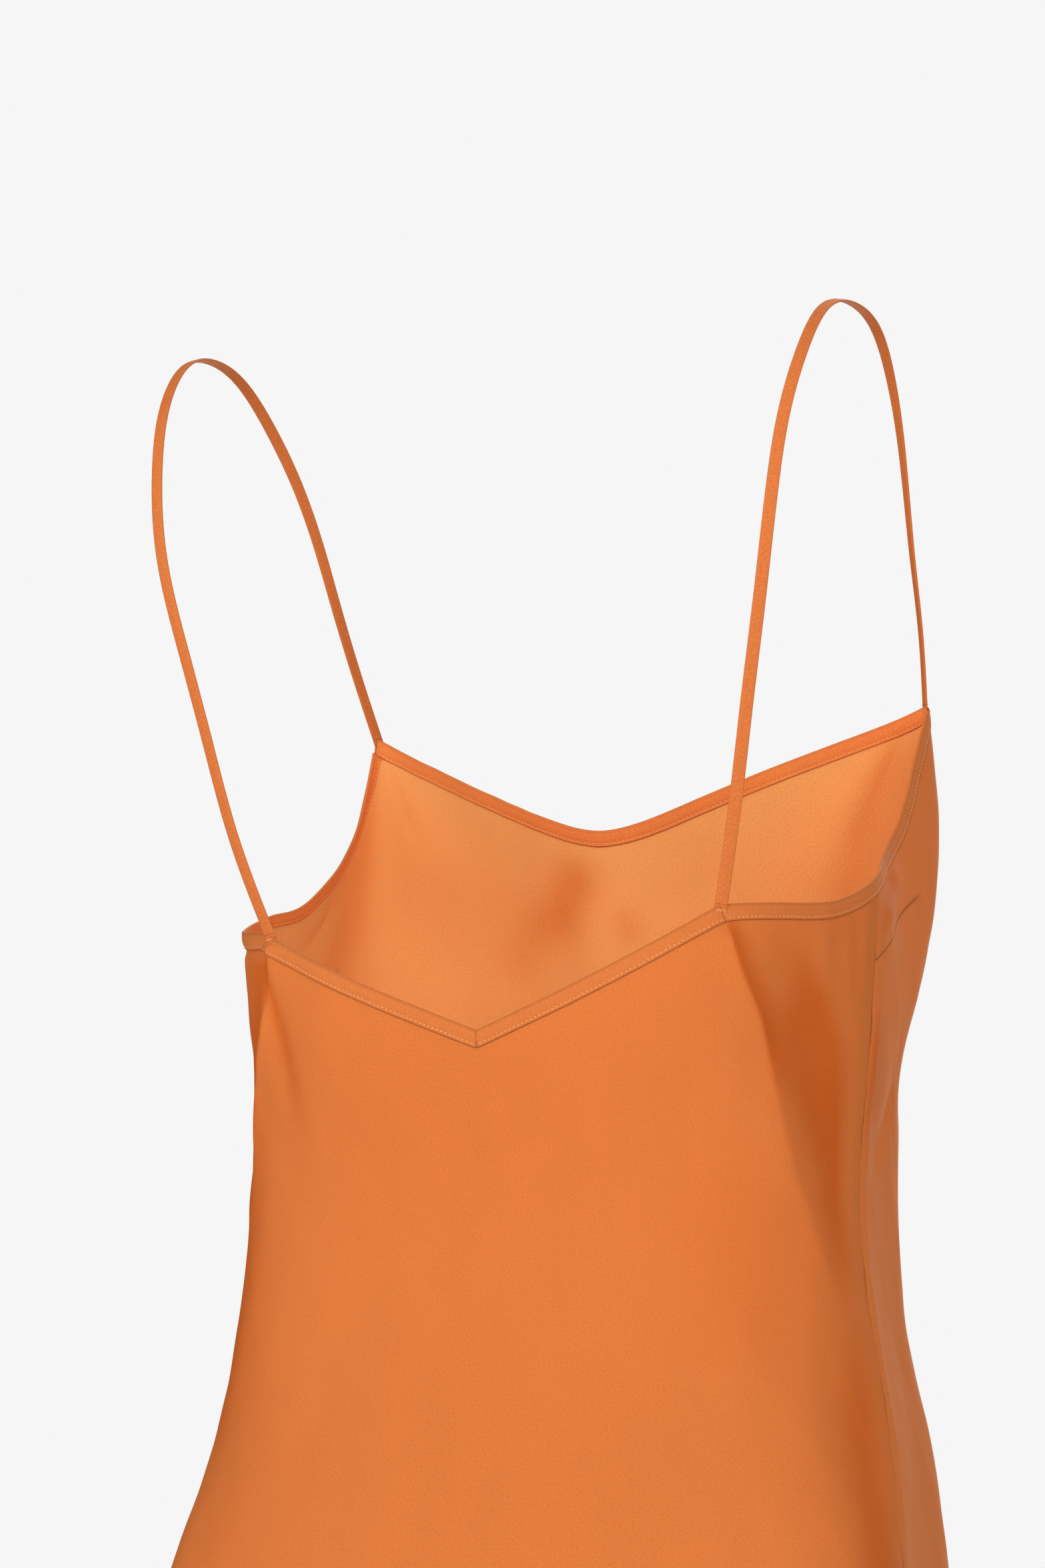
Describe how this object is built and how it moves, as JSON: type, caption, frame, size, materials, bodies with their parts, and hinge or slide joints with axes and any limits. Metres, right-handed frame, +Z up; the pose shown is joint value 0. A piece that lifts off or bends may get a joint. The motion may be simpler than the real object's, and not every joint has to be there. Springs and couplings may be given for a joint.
{
  "type": "slip dress",
  "caption": "Long bias slip dress on two thin straps, with a rounded front V, a lower back V, bound top edges and a flared skirt, filled out as worn.",
  "frame": {"origin": "midway between the tops of the two shoulder straps, at the height of their outer faces, where the wearer's shoulders carry the dress", "axes": "+Z up, the wearer faces -Y, +X is the wearer's left"},
  "size_m": [0.4874, 0.361, 1.2215],
  "materials": {
    "front_satin": "soft low-gloss satin weave with a fine crosswise grain",
    "back_satin": "soft low-gloss satin weave with a fine crosswise grain",
    "front_neck_binding_satin": "folded satin strip, edge-stitched in a paler thread",
    "back_neck_binding_satin": "folded satin strip, edge-stitched in a paler thread",
    "armhole_binding_satin": "folded satin strip, edge-stitched in a paler thread",
    "strap_satin": "flat turned satin strip, edge-stitched"
  },
  "bodies": {
    "root": {"front_panel": "front_satin", "back_panel": "back_satin", "front_neck_binding": "front_neck_binding_satin", "back_neck_binding_left": "back_neck_binding_satin", "back_neck_binding_right": "back_neck_binding_satin", "armhole_binding_left": "armhole_binding_satin", "armhole_binding_right": "armhole_binding_satin", "strap_left": "strap_satin", "strap_right": "strap_satin"}
  },
  "joints": []
}
